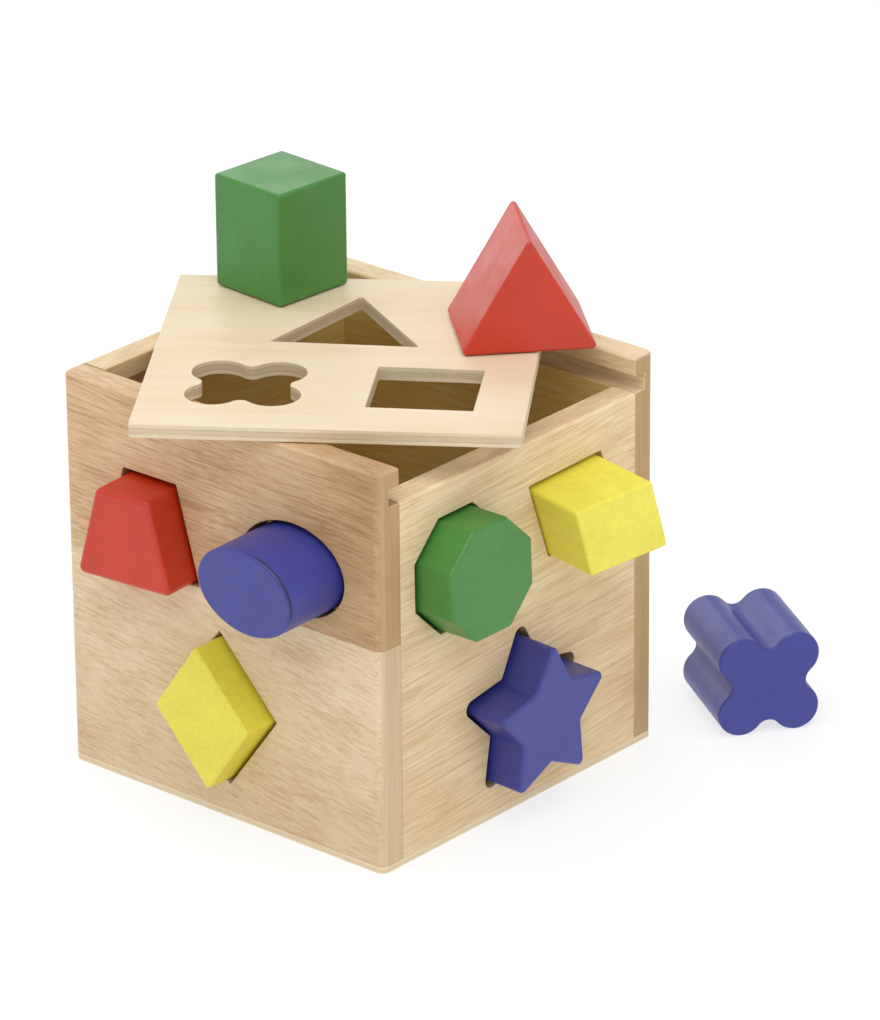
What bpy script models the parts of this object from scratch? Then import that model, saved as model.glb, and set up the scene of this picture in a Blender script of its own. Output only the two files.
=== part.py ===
"""A wooden shape-sorting cube: a grooved box, its sliding lid and nine painted blocks.

Units are metres with +Z up. The origin is the centre of the box's underside. The left wall faces -X and
the front wall faces -Y. Six blocks are pushed part of the way into the holes of those two walls, the lid
lies turned on top of the walls with two blocks on it, and the ninth block lies on the floor.
"""
import math

import bmesh
import bpy
from mathutils import Matrix, Vector

MM = 0.001

# Box
CUBE = 140.0 * MM  # width and depth over the walls
HEIGHT = 142.5 * MM  # underside of the bottom panel to the top of the walls
WALL = 10.0 * MM  # board thickness
BOTTOM = 2.5 * MM  # bottom panel thickness
GLUE_LINE = 80.0 * MM  # height of the joint between the left wall's two boards
CORNER_ROUND = 3.0 * MM  # outer vertical edges
TOP_ROUND = 1.2 * MM  # outer top edges
SEAM = 0.3 * MM  # clearance kept between pieces that touch

# Lid and its groove
LID_WIDTH = 128.0 * MM
LID_DEPTH = 133.8 * MM
LID_THICKNESS = 5.0 * MM
LID_CORNER = 1.2 * MM
SHEET_EDGE = 0.3 * MM  # rounding of the edges of the plywood sheets
GROOVE_FLOOR = 130.0 * MM  # height of the groove's ledge, level with the front wall's top
GROOVE_HEIGHT = 5.9 * MM
SIDE_GROOVE_DEPTH = 5.0 * MM
BACK_GROOVE_DEPTH = 4.0 * MM
LID_CENTRE = (-6.9 * MM, -0.3 * MM)
LID_YAW = math.radians(-54.4)

# Blocks
BLOCK_LENGTH = 40.4 * MM
BLOCK_ROUND = 1.0 * MM  # rounding of a block's end edges
ARRIS = 1.3 * MM  # rounding of a block's long edges
SOFT_ARRIS = 2.4 * MM  # the same on the trapezoid, which is sanded rounder
CLEARANCE = 1.1 * MM  # gap between a block and its hole, all round
HOLE_CORNER = 0.6 * MM  # radius in a hole's corners
STAR_REACH = 1.9 * MM  # how much further the star hole's tips reach than a plain clearance takes them
CUTTER_REACH = 8.0 * MM  # how far a cutter passes both faces of its board

ARC_STEP = math.radians(15)
ROUNDING_STEPS = 4  # faces across a board's rounded edge
SHARP_ANGLE = math.radians(32)  # a steeper edge than this is shaded sharp
NEAR = 1e-6  # two lengths closer than this are the same

WOOD_LIGHT = (0.70, 0.52, 0.32)
WOOD_WARM = (0.56, 0.35, 0.19)
PLYWOOD = (0.80, 0.68, 0.49)
RED = (0.58, 0.07, 0.03)
GREEN = (0.09, 0.30, 0.09)
BLUE = (0.07, 0.07, 0.34)
YELLOW = (0.78, 0.70, 0.06)
WOOD_ROUGHNESS = 0.55
PLYWOOD_ROUGHNESS = 0.5
PAINT_ROUGHNESS = 0.4


# ---------------------------------------------------------------- outlines

def arc(centre, radius, start, sweep):
    """Points along an arc, both ends included."""
    steps = max(2, math.ceil(abs(sweep) / ARC_STEP))
    angles = [start + sweep * i / steps for i in range(steps + 1)]
    return [centre + radius * Vector((math.cos(a), math.sin(a))) for a in angles]


def rounded_polygon(corners, grow, hole=False):
    """Anticlockwise corners (x, y, radius), moved out by grow and made arcs, which are tight ones in a hole."""
    points = []
    for i, corner in enumerate(corners):
        here = Vector(corner[:2])
        to_here = (here - Vector(corners[i - 1][:2])).normalized()
        to_next = (Vector(corners[(i + 1) % len(corners)][:2]) - here).normalized()
        turn = math.atan2(to_here.cross(to_next), to_here.dot(to_next))
        side = 1 if turn > 0 else -1
        radius = HOLE_CORNER if hole and turn > 0 else max(corner[2] + side * grow, HOLE_CORNER)
        normal = Vector((to_here.y, -to_here.x))
        next_normal = Vector((to_next.y, -to_next.x))
        bisector = (normal + next_normal).normalized()
        inset = (side * radius - grow) / math.cos(turn / 2)
        centre = here - bisector * inset
        start = math.atan2(side * normal.y, side * normal.x)
        points += arc(centre, radius, start, turn)
    return points


def polygon(corners, radius):
    """An outline function for a polygon whose corners all have one rounding radius."""
    return lambda grow, hole=False: rounded_polygon([(x, y, radius) for x, y in corners], grow, hole)


def rectangle(width, depth, radius):
    x, y = width / 2, depth / 2
    return polygon([(-x, -y), (x, -y), (x, y), (-x, y)], radius)


def trapezoid(bottom, top, height):
    y = height / 2
    return polygon([(-bottom / 2, -y), (bottom / 2, -y), (top / 2, y), (-top / 2, y)], SOFT_ARRIS)


def rhombus(width, height):
    return polygon([(0, -height / 2), (width / 2, 0), (0, height / 2), (-width / 2, 0)], ARRIS)


def parallelogram(base, height, lean):
    """A parallelogram whose top is shifted to the left by lean."""
    half = base / 2
    return polygon(
        [
            (lean / 2 - half, -height / 2),
            (lean / 2 + half, -height / 2),
            (half - lean / 2, height / 2),
            (-half - lean / 2, height / 2),
        ],
        ARRIS,
    )


def regular_polygon(sides, radius, first_angle):
    angles = [first_angle + math.tau * i / sides for i in range(sides)]
    return polygon([(radius * math.cos(a), radius * math.sin(a)) for a in angles], ARRIS)


def star(tip_radius, notch_radius, tip_round, notch_round):
    """A five-pointed star. Its hole's tips are as round as its own, and reach STAR_REACH further out."""
    def outline(grow, hole=False):
        corners = []
        for i in range(5):
            tip, notch = (math.radians(90 + 72 * i + turn) for turn in (0, 36))
            reach = tip_radius + (STAR_REACH if hole else 0.0)
            corners.append((reach * math.cos(tip), reach * math.sin(tip), tip_round))
            corners.append((notch_radius * math.cos(notch), notch_radius * math.sin(notch), notch_round))
        return rounded_polygon(corners, grow)

    return outline


def ellipse(half_width, half_height, steps=56):
    def outline(grow, hole=False):
        points = []
        for i in range(steps):
            angle = math.tau * i / steps
            point = Vector((half_width * math.cos(angle), half_height * math.sin(angle)))
            normal = Vector((half_height * math.cos(angle), half_width * math.sin(angle))).normalized()
            points.append(point + normal * grow)
        return points

    return outline


def clover(lobe_offset, lobe_radius, notch_radius):
    """Four round lobes centred at (+-lobe_offset, +-lobe_offset), joined by hollow fillets."""
    reach = math.sqrt((lobe_radius + notch_radius) ** 2 - lobe_offset**2)
    lean = math.atan2(reach, lobe_offset)  # direction from a lobe's centre to the next fillet's

    def outline(grow, hole=False):
        points = []
        for quarter in range(4):
            turn = Matrix.Rotation(quarter * math.pi / 2, 2)
            lobe = turn @ Vector((lobe_offset, lobe_offset))
            notch = turn @ Vector((0, lobe_offset + reach))
            base = quarter * math.pi / 2
            start = base + lean - math.pi / 2
            lobe_arc = arc(lobe, lobe_radius + grow, start, 1.5 * math.pi - 2 * lean)
            notch_arc = arc(notch, notch_radius - grow, base - lean, 2 * lean - math.pi)
            points += lobe_arc + notch_arc[1:-1]
        return points

    return outline


# ---------------------------------------------------------------- building solids

def material(name, colour, roughness):
    made = bpy.data.materials.new(name)
    made.use_nodes = True
    shader = made.node_tree.nodes["Principled BSDF"]
    shader.inputs["Base Color"].default_value = (*colour, 1)
    shader.inputs["Roughness"].default_value = roughness
    shader.inputs["Metallic"].default_value = 0.0
    return made


def add_object(name, mesh, matrix, parent, colour=None, roughness=WOOD_ROUGHNESS):
    obj = bpy.data.objects.new(name, mesh)
    bpy.context.scene.collection.objects.link(obj)
    obj.parent = parent
    bpy.context.view_layer.update()
    obj.matrix_world = matrix
    if colour:
        mesh.materials.append(material(name, colour, roughness))
        mesh.shade_smooth()
        mesh.set_sharp_from_angle(angle=SHARP_ANGLE)
    return obj


def lofted(name, rings):
    """A closed solid through rings of (points, z), the first at the bottom."""
    bm = bmesh.new()
    loops = [[bm.verts.new((p.x, p.y, z)) for p in points] for points, z in rings]
    count = len(loops[0])
    for low, high in zip(loops, loops[1:]):
        for i in range(count):
            bm.faces.new((low[i], low[(i + 1) % count], high[(i + 1) % count], high[i]))
    bm.faces.new(list(reversed(loops[0])))
    bm.faces.new(loops[-1])
    mesh = bpy.data.meshes.new(name)
    bm.to_mesh(mesh)
    bm.free()
    return mesh


def rounded_prism(name, outline, length, rounding, steps=3):
    """An outline drawn out along Z about z = 0, with its end edges rounded."""
    rings = []
    for i in range(steps + 1):
        angle = math.pi / 2 * i / steps
        rings.append((rounding * (math.sin(angle) - 1), -length / 2 + rounding * (1 - math.cos(angle))))
    rings += [(grow, -z) for grow, z in reversed(rings)]
    return lofted(name, [(outline(grow), z) for grow, z in rings])


def cutter(name, outline, length, matrix, parent):
    """A straight prism that a Boolean takes away. It is left out of renders."""
    points = outline(CLEARANCE, hole=True)
    mesh = lofted(name, [(points, -length / 2), (points, length / 2)])
    obj = add_object(name, mesh, matrix, parent)
    obj.hide_render = True
    obj.display_type = "WIRE"
    return obj


def cut(target, tool):
    modifier = target.modifiers.new(tool.name, "BOOLEAN")
    modifier.operation = "DIFFERENCE"
    modifier.object = tool


def board(name, profile, start, end, axes, rounds):
    """A profile of (u, z) corners drawn out from start to end along the third direction.

    axes maps (u, along, z) to a world point, and rounds lists (test of an edge's ends, radius).
    """
    bm = bmesh.new()
    near = [bm.verts.new(axes(u, start, z)) for u, z in profile]
    far = [bm.verts.new(axes(u, end, z)) for u, z in profile]
    bm.faces.new(near)
    bm.faces.new(list(reversed(far)))
    count = len(profile)
    for i in range(count):
        bm.faces.new((near[i], far[i], far[(i + 1) % count], near[(i + 1) % count]))
    bmesh.ops.recalc_face_normals(bm, faces=bm.faces)
    for test, radius in rounds:
        edges = [edge for edge in bm.edges if test(*(vert.co for vert in edge.verts))]
        bmesh.ops.bevel(bm, geom=edges, offset=radius, segments=ROUNDING_STEPS, profile=0.5, affect="EDGES")
    mesh = bpy.data.meshes.new(name)
    bm.to_mesh(mesh)
    bm.free()
    return mesh


def is_outer_upright(a, b):
    """True for an edge that runs up one of the box's four outer corners."""
    on_corner = all(abs(abs(v) - CUBE / 2) < NEAR for v in (a.x, a.y, b.x, b.y))
    return on_corner and abs(a.z - b.z) > MM


def is_outer_top(a, b):
    """True for an edge along the outside of the box's top."""
    at_top = min(a.z, b.z) > HEIGHT - NEAR
    beyond = CUBE / 2 - CORNER_ROUND - NEAR
    return at_top and all(max(abs(v.x), abs(v.y)) > beyond for v in (a, b)) and not crosses_wall(a, b)


def crosses_wall(a, b):
    """True for a top edge that runs across a wall's thickness, from its outer to its inner side."""
    inner = CUBE / 2 - WALL + 2 * SEAM
    return min(max(abs(v.x), abs(v.y)) for v in (a, b)) < inner


# ---------------------------------------------------------------- places

# A wall's frame looks at it from outside: X to the right, Y up and Z out of the wall.
LEFT_WALL = Matrix(((0, 0, -1, -CUBE / 2), (-1, 0, 0, 0), (0, 1, 0, 0), (0, 0, 0, 1)))
FRONT_WALL = Matrix(((1, 0, 0, 0), (0, 0, -1, -CUBE / 2), (0, 1, 0, 0), (0, 0, 0, 1)))
LID_TOP = HEIGHT + SEAM + LID_THICKNESS
LID = Matrix.Translation((*LID_CENTRE, LID_TOP - LID_THICKNESS / 2)) @ Matrix.Rotation(LID_YAW, 4, "Z")

# Each parked block: its wall, where its axis meets the wall's outer face (across, up), how far it stands
# out, how its axis leans (across, up), how it is turned about that axis, where its hole's middle lies from
# that axis (across, up), its outline and its colour.
PARKED = {
    "trapezoid_block": (LEFT_WALL, (-30.9, 97.3), 15.6, (5.0, 0.4), 0.4, (0.3, 0.6),
                        trapezoid(39.8 * MM, 22.2 * MM, 32.2 * MM), RED),
    "ellipse_block": (LEFT_WALL, (31.3, 98.6), 21.9, (-3.0, -3.0), 1.2, (0.45, 0.4),
                      ellipse(21.4 * MM, 15.2 * MM), BLUE),
    "rhombus_block": (LEFT_WALL, (-0.2, 39.6), 10.6, (-2.7, -1.7), 3.3, (0.4, 0.2),
                      rhombus(43.8 * MM, 52.2 * MM), YELLOW),
    "octagon_block": (FRONT_WALL, (-31.6, 97.3), 15.5, (-1.7, 1.5), 1.0, (-0.5, 0.2),
                      regular_polygon(8, 21.2 * MM, math.pi / 8), GREEN),
    "parallelogram_block": (FRONT_WALL, (28.1, 99.9), 23.1, (-6.6, -4.0), 1.3, (-0.2, 0.1),
                            parallelogram(35.2 * MM, 26.6 * MM, 8.8 * MM), YELLOW),
    "star_block": (FRONT_WALL, (0.5, 35.3), 14.1, (-0.4, -1.5), 0.0, (-0.2, 0.5),
                   star(28.6 * MM, 15.3 * MM, 2.0 * MM, 1.5 * MM), BLUE),
}

LOBE_OFFSET, LOBE_RADIUS = 9.8 * MM, 8.3 * MM
CLOVER = clover(LOBE_OFFSET, LOBE_RADIUS, 4.5 * MM)
CLOVER_HALF = LOBE_OFFSET + LOBE_RADIUS
SQUARE_SIDE = 32.1 * MM
SQUARE_OPENING_SIDE = 33.2 * MM  # the square hole is a little roomier than the others
TRIANGLE_SIDE = 46.6 * MM
SQUARE = regular_polygon(4, SQUARE_SIDE / math.sqrt(2), math.pi / 4)
SQUARE_OPENING = regular_polygon(4, SQUARE_OPENING_SIDE / math.sqrt(2), math.pi / 4)
TRIANGLE = regular_polygon(3, TRIANGLE_SIDE / math.sqrt(3), math.pi / 2)

# The lid's holes, from its centre: across, back and turn.
LID_HOLES = {
    "clover_hole": (CLOVER, (-29.8, -29.4), 0.0),
    "square_hole": (SQUARE_OPENING, (29.4, -30.1), -1.6),
    "triangle_hole": (TRIANGLE, (-0.7, 21.4), -2.0),
}

# The loose blocks: the square one's middle, and the front ends of the two that lie on their sides.
SQUARE_PLACE, SQUARE_YAW = (25.3 * MM, 57.0 * MM), math.radians(-4.3)
TRIANGLE_PLACE, TRIANGLE_YAW = (30.8 * MM, -48.7 * MM), math.radians(-41.8)
CLOVER_PLACE, CLOVER_YAW = (97.1 * MM, -99.7 * MM), math.radians(-33.2)


def leaning(place, lean, turn, wall):
    """The frame of a block's axis: its Z leans out of the wall and its origin is on the outer face."""
    across, up = (math.tan(math.radians(angle)) for angle in lean)
    tilt = Vector((0, 0, 1)).rotation_difference(Vector((across, up, 1)))
    at = Matrix.Translation((place[0] * MM, place[1] * MM, 0))
    return wall @ at @ tilt.to_matrix().to_4x4() @ Matrix.Rotation(math.radians(turn), 4, "Z")


def hole_place(place, lean, turn, slack, wall):
    """The frame of the hole that the block passes through, at the middle of the wall's thickness."""
    across, up = (-WALL / 2 * math.tan(math.radians(angle)) for angle in lean)
    middle = ((place[0] + slack[0]) * MM + across, (place[1] + slack[1]) * MM + up, -WALL / 2)
    return wall @ Matrix.Translation(middle) @ Matrix.Rotation(math.radians(turn), 4, "Z")


# ---------------------------------------------------------------- the pieces

def side_profile(side, low, high):
    """A side wall's section as (x, z) corners, with the lid groove if it reaches that high."""
    outer = side * CUBE / 2
    inner = side * (CUBE / 2 - WALL)
    groove = side * (CUBE / 2 - WALL + SIDE_GROOVE_DEPTH)
    lip = GROOVE_FLOOR + GROOVE_HEIGHT
    notch = [(inner, GROOVE_FLOOR), (groove, GROOVE_FLOOR), (groove, lip), (inner, lip)]
    return [(outer, low), (inner, low), *(notch if high > lip else []), (inner, high), (outer, high)]


def make_side_board(name, side, low, high, colour, box):
    rounds = [(is_outer_upright, CORNER_ROUND)]
    if high == HEIGHT:
        rounds.append((is_outer_top, TOP_ROUND))
    mesh = board(name, side_profile(side, low, high), -CUBE / 2, CUBE / 2,
                 lambda x, y, z: (x, y, z), rounds)
    return add_object(name, mesh, Matrix(), box, colour)


def make_cross_board(name, side, high, grooved, colour, box):
    """The front or back wall, which stands between the side walls."""
    low = BOTTOM + SEAM
    outer = side * CUBE / 2
    inner = side * (CUBE / 2 - WALL)
    half = CUBE / 2 - WALL - SEAM
    lip = GROOVE_FLOOR + GROOVE_HEIGHT
    groove = side * (CUBE / 2 - WALL + BACK_GROOVE_DEPTH)
    notch = [(inner, GROOVE_FLOOR), (groove, GROOVE_FLOOR), (groove, lip), (inner, lip)]
    profile = [(outer, low), (inner, low), *(notch if grooved else []), (inner, high), (outer, high)]

    def is_top_outer(a, b):
        on_face = all(abs(v.y - outer) < NEAR for v in (a, b))
        return min(a.z, b.z) > high - NEAR and on_face

    mesh = board(name, profile, -half, half, lambda y, x, z: (x, y, z), [(is_top_outer, TOP_ROUND)])
    return add_object(name, mesh, Matrix(), box, colour)


def make_box():
    box = bpy.data.objects.new("shape_sorter", None)
    bpy.context.scene.collection.objects.link(box)
    low = BOTTOM + SEAM
    left_upper = make_side_board("left_wall_upper_board", -1, GLUE_LINE + SEAM, HEIGHT, WOOD_WARM, box)
    left_lower = make_side_board("left_wall_lower_board", -1, low, GLUE_LINE, WOOD_LIGHT, box)
    make_side_board("right_wall_board", 1, low, HEIGHT, WOOD_WARM, box)
    front = make_cross_board("front_wall_board", -1, GROOVE_FLOOR, False, WOOD_LIGHT, box)
    make_cross_board("back_wall_board", 1, HEIGHT, True, WOOD_LIGHT, box)
    sheet = rounded_prism("bottom_panel", rectangle(CUBE, CUBE, CORNER_ROUND), BOTTOM, SHEET_EDGE, steps=1)
    add_object("bottom_panel", sheet, Matrix.Translation((0, 0, BOTTOM / 2)), box, PLYWOOD, PLYWOOD_ROUGHNESS)
    boards = {
        "trapezoid_block": left_upper,
        "ellipse_block": left_upper,
        "rhombus_block": left_lower,
        "octagon_block": front,
        "parallelogram_block": front,
        "star_block": front,
    }
    for name, target in boards.items():
        make_parked_block(name, target, box)
    return box


def make_parked_block(name, target, box):
    wall, place, out, lean, turn, slack, outline, colour = PARKED[name]
    hole = cutter(name.replace("_block", "_hole"), outline, WALL + 2 * CUTTER_REACH,
                  hole_place(place, lean, turn, slack, wall), box)
    cut(target, hole)
    centre = Matrix.Translation((0, 0, out * MM - BLOCK_LENGTH / 2))
    mesh = rounded_prism(name, outline, BLOCK_LENGTH, BLOCK_ROUND)
    add_object(name, mesh, leaning(place, lean, turn, wall) @ centre, box, colour, PAINT_ROUGHNESS)


def make_lid(box):
    sheet = rectangle(LID_WIDTH, LID_DEPTH, LID_CORNER)
    mesh = rounded_prism("lid_panel", sheet, LID_THICKNESS, SHEET_EDGE, steps=1)
    lid = add_object("lid_panel", mesh, LID, box, PLYWOOD, PLYWOOD_ROUGHNESS)
    for name, (outline, (across, back), turn) in LID_HOLES.items():
        at = LID @ Matrix.Translation((across * MM, back * MM, 0))
        at = at @ Matrix.Rotation(math.radians(turn), 4, "Z")
        cut(lid, cutter(name, outline, LID_THICKNESS + 2 * CUTTER_REACH, at, lid))
    return lid


def make_blocks_on_lid(lid):
    floor = LID_TOP + SEAM
    square = rounded_prism("square_block", SQUARE, BLOCK_LENGTH, BLOCK_ROUND)
    at = Matrix.Translation((*SQUARE_PLACE, floor + BLOCK_LENGTH / 2)) @ Matrix.Rotation(SQUARE_YAW, 4, "Z")
    add_object("square_block", square, at, lid, GREEN, PAINT_ROUGHNESS)
    triangle = rounded_prism("triangle_block", TRIANGLE, BLOCK_LENGTH, BLOCK_ROUND)
    inradius = TRIANGLE_SIDE / (2 * math.sqrt(3))
    at = lying(TRIANGLE_PLACE, floor + inradius, TRIANGLE_YAW)
    add_object("triangle_block", triangle, at, lid, RED, PAINT_ROUGHNESS)


def lying(front, height, yaw):
    """The frame of a block on its side: its front end's middle is above front, and yaw turns it."""
    turned = Matrix.Translation((*front, height)) @ Matrix.Rotation(yaw, 4, "Z")
    return turned @ Matrix.Translation((0, BLOCK_LENGTH / 2, 0)) @ Matrix.Rotation(math.pi / 2, 4, "X")


def make_block_on_floor(box):
    """The clover block lies on two of its lobes beside the box's front right corner."""
    mesh = rounded_prism("clover_block", CLOVER, BLOCK_LENGTH, BLOCK_ROUND)
    at = lying(CLOVER_PLACE, CLOVER_HALF, CLOVER_YAW)
    add_object("clover_block", mesh, at, box, BLUE, PAINT_ROUGHNESS)


def main():
    for obj in list(bpy.data.objects):
        bpy.data.objects.remove(obj, do_unlink=True)
    box = make_box()
    lid = make_lid(box)
    make_blocks_on_lid(lid)
    make_block_on_floor(box)
    bpy.context.view_layer.update()


main()
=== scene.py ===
"""The looks of the wooden shape sorter: bevelled boards, plywood lid and base, and nine painted blocks.

Each visible piece is rebuilt in mesh code in the frame's own place, with rounded arrises and routed hole
rims, and gets a procedural wood, plywood or paint material. Lengths are in metres, and MM turns millimetres
into them.
"""
import math

import bmesh
import bpy
from mathutils import Matrix, Vector, noise


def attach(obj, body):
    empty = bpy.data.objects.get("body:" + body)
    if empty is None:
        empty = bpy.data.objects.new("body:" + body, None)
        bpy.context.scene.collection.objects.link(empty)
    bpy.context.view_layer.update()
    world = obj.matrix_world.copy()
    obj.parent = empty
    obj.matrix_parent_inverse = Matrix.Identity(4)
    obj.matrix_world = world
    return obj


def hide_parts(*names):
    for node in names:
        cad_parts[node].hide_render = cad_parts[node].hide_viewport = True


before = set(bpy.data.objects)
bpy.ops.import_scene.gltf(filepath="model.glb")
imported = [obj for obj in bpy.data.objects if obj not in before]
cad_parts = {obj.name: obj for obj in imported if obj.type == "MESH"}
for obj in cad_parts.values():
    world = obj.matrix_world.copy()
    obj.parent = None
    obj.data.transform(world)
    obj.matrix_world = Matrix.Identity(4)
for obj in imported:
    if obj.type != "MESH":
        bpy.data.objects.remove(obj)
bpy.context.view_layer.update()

MM = 0.001

# Box
CUBE = 140.0 * MM  # width and depth over the walls
HEIGHT = 142.5 * MM
WALL = 10.0 * MM
BOTTOM = 2.5 * MM
GLUE_LINE = 80.15 * MM  # the middle of the seam between the left wall's two boards
CORNER_ROUND = 3.0 * MM
TOP_ROUND = 1.2 * MM
TOP_INNER_EDGE = 0.5 * MM  # rounding along the inside of the front and back boards' tops
BOARD_EDGE = 0.4 * MM  # rounding of a side board's other edges
GLUED_EDGE = 0.12 * MM  # the same along a glued joint
MET_EDGE = 0.08 * MM  # the same where a side board meets the front or back board
END_EDGE = 0.06 * MM  # the same on the front and back boards' ends
HOLE_RIM = 0.4 * MM
SEAM = 0.3 * MM  # the gap left between pieces that touch

# Lid and its groove
LID_WIDTH = 128.0 * MM
LID_DEPTH = 133.8 * MM
LID_THICKNESS = 5.0 * MM
LID_CORNER = 1.2 * MM
LID_EDGE = 0.4 * MM
LID_HOLE_RIM = 0.25 * MM
BASE_EDGE = 0.3 * MM
GROOVE_FLOOR = 130.0 * MM
GROOVE_HEIGHT = 5.9 * MM
SIDE_GROOVE_DEPTH = 5.0 * MM
BACK_GROOVE_DEPTH = 4.0 * MM
LID_CENTRE = (-6.9 * MM, -0.3 * MM)
LID_YAW = math.radians(-54.4)

# Blocks
BLOCK_LENGTH = 40.4 * MM
BLOCK_ROUND = 1.0 * MM  # rounding of a block's end edges
SOFT_BLOCK_ROUND = 1.7 * MM  # the same on the trapezoid
ARRIS = 1.3 * MM  # rounding of a block's long edges
SOFT_ARRIS = 2.4 * MM  # the same on the trapezoid
PAINT_UNEVENNESS = 0.12 * MM
PAINT_LUMPS = 140  # uneven places to a metre
CLEARANCE = 1.1 * MM  # gap between a block and its hole, all round
HOLE_CORNER = 0.6 * MM
STAR_REACH = 1.9 * MM  # how much further out the tips of the star's hole are than the star's
CUTTER_REACH = 8.0 * MM
RIM_STEP = math.radians(17)  # between the rings of a rim's quarter round
RIM_END = math.radians(75)  # where that quarter round meets the face, a little short of level

ARC_STEP = math.radians(9)
QUARTER = math.pi / 2
CREASED = math.radians(40)  # a steeper edge than this is one to soften
NEAR = 1e-6  # two lengths closer than this are the same

# Camera and lamps. Azimuth is in degrees, 0 in front of the box and growing towards its right.
CAMERA_AZIMUTH, CAMERA_ELEVATION, CAMERA_ROLL = -49.09, 23.39, -0.49
CAMERA_AIM = Vector((-116.44, -136.12, 164.51)) * MM
CAMERA_DISTANCE = 1939.23 * MM
CAMERA_LENS = 223.43
LAMP_AIM = Vector((0, 0, 80.0)) * MM
FLOOR_REACH = 6.0
LAMPS = (  # name, azimuth, elevation, distance, size, power, colour
    ("key_softbox", -65, 68, 1.7, 1.8, 17.0, (0.96, 0.98, 1.0)),
    ("fill_softbox", 0, 50, 1.8, 1.4, 2.5, (1.0, 0.97, 0.9)),
    ("back_softbox", 155, 18, 2.0, 1.7, 10.0, (1.0, 1.0, 1.0)),
)


# ---------------------------------------------------------------- outlines

def arc(centre, radius, start, sweep):
    """Points along an arc, both ends included."""
    steps = max(2, math.ceil(abs(sweep) / ARC_STEP))
    angles = [start + sweep * i / steps for i in range(steps + 1)]
    return [centre + radius * Vector((math.cos(a), math.sin(a))) for a in angles]


def rounded_polygon(corners, grow, hole=False):
    """Anticlockwise corners (x, y, radius), moved out by grow and made arcs, tight ones in a hole."""
    points = []
    for i, corner in enumerate(corners):
        here = Vector(corner[:2])
        to_here = (here - Vector(corners[i - 1][:2])).normalized()
        to_next = (Vector(corners[(i + 1) % len(corners)][:2]) - here).normalized()
        turn = math.atan2(to_here.cross(to_next), to_here.dot(to_next))
        side = 1 if turn > 0 else -1
        radius = HOLE_CORNER if hole and turn > 0 else max(corner[2] + side * grow, HOLE_CORNER)
        normal = Vector((to_here.y, -to_here.x))
        next_normal = Vector((to_next.y, -to_next.x))
        bisector = (normal + next_normal).normalized()
        inset = (side * radius - grow) / math.cos(turn / 2)
        centre = here - bisector * inset
        start = math.atan2(side * normal.y, side * normal.x)
        points += arc(centre, radius, start, turn)
    return points


def polygon(corners, radius):
    """An outline function for a polygon whose corners all have one rounding radius."""
    return lambda grow, hole=False: rounded_polygon([(x, y, radius) for x, y in corners], grow, hole)


def rectangle(width, depth, radius):
    x, y = width / 2, depth / 2
    return polygon([(-x, -y), (x, -y), (x, y), (-x, y)], radius)


def trapezoid(bottom, top, height):
    y = height / 2
    return polygon([(-bottom / 2, -y), (bottom / 2, -y), (top / 2, y), (-top / 2, y)], SOFT_ARRIS)


def rhombus(width, height):
    return polygon([(0, -height / 2), (width / 2, 0), (0, height / 2), (-width / 2, 0)], ARRIS)


def parallelogram(base, height, lean):
    """A parallelogram whose top is shifted to the left by lean."""
    half = base / 2
    return polygon(
        [
            (lean / 2 - half, -height / 2),
            (lean / 2 + half, -height / 2),
            (half - lean / 2, height / 2),
            (-half - lean / 2, height / 2),
        ],
        ARRIS,
    )


def regular_polygon(sides, radius, first_angle):
    angles = [first_angle + math.tau * i / sides for i in range(sides)]
    return polygon([(radius * math.cos(a), radius * math.sin(a)) for a in angles], ARRIS)


def star(tip_radius, notch_radius, tip_round, notch_round):
    """A five-pointed star. Its hole's tips are as round as its own, and reach STAR_REACH further out."""
    def outline(grow, hole=False):
        corners = []
        for i in range(5):
            tip, notch = (math.radians(90 + 72 * i + turn) for turn in (0, 36))
            reach = tip_radius + (STAR_REACH if hole else 0.0)
            corners.append((reach * math.cos(tip), reach * math.sin(tip), tip_round))
            corners.append((notch_radius * math.cos(notch), notch_radius * math.sin(notch), notch_round))
        return rounded_polygon(corners, grow)

    return outline


def ellipse(half_width, half_height, steps=112):
    def outline(grow, hole=False):
        points = []
        for i in range(steps):
            angle = math.tau * i / steps
            point = Vector((half_width * math.cos(angle), half_height * math.sin(angle)))
            normal = Vector((half_height * math.cos(angle), half_width * math.sin(angle))).normalized()
            points.append(point + normal * grow)
        return points

    return outline


def clover(lobe_offset, lobe_radius, notch_radius):
    """Four round lobes centred at (+-lobe_offset, +-lobe_offset), joined by hollow fillets."""
    reach = math.sqrt((lobe_radius + notch_radius) ** 2 - lobe_offset**2)
    lean = math.atan2(reach, lobe_offset)

    def outline(grow, hole=False):
        points = []
        for quarter in range(4):
            turn = Matrix.Rotation(quarter * QUARTER, 2)
            lobe = turn @ Vector((lobe_offset, lobe_offset))
            notch = turn @ Vector((0, lobe_offset + reach))
            base = quarter * QUARTER
            start = base + lean - QUARTER
            lobe_arc = arc(lobe, lobe_radius + grow, start, 1.5 * math.pi - 2 * lean)
            notch_arc = arc(notch, notch_radius - grow, base - lean, 2 * lean - math.pi)
            points += lobe_arc + notch_arc[1:-1]
        return points

    return outline


# ---------------------------------------------------------------- meshes

def rings_to_bmesh(rings):
    """A closed solid through rings of (points, z), the first at the bottom."""
    bm = bmesh.new()
    loops = [[bm.verts.new((p.x, p.y, z)) for p in points] for points, z in rings]
    count = len(loops[0])
    for low, high in zip(loops, loops[1:]):
        for i in range(count):
            bm.faces.new((low[i], low[(i + 1) % count], high[(i + 1) % count], high[i]))
    bm.faces.new(list(reversed(loops[0])))
    bm.faces.new(loops[-1])
    return bm


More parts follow.
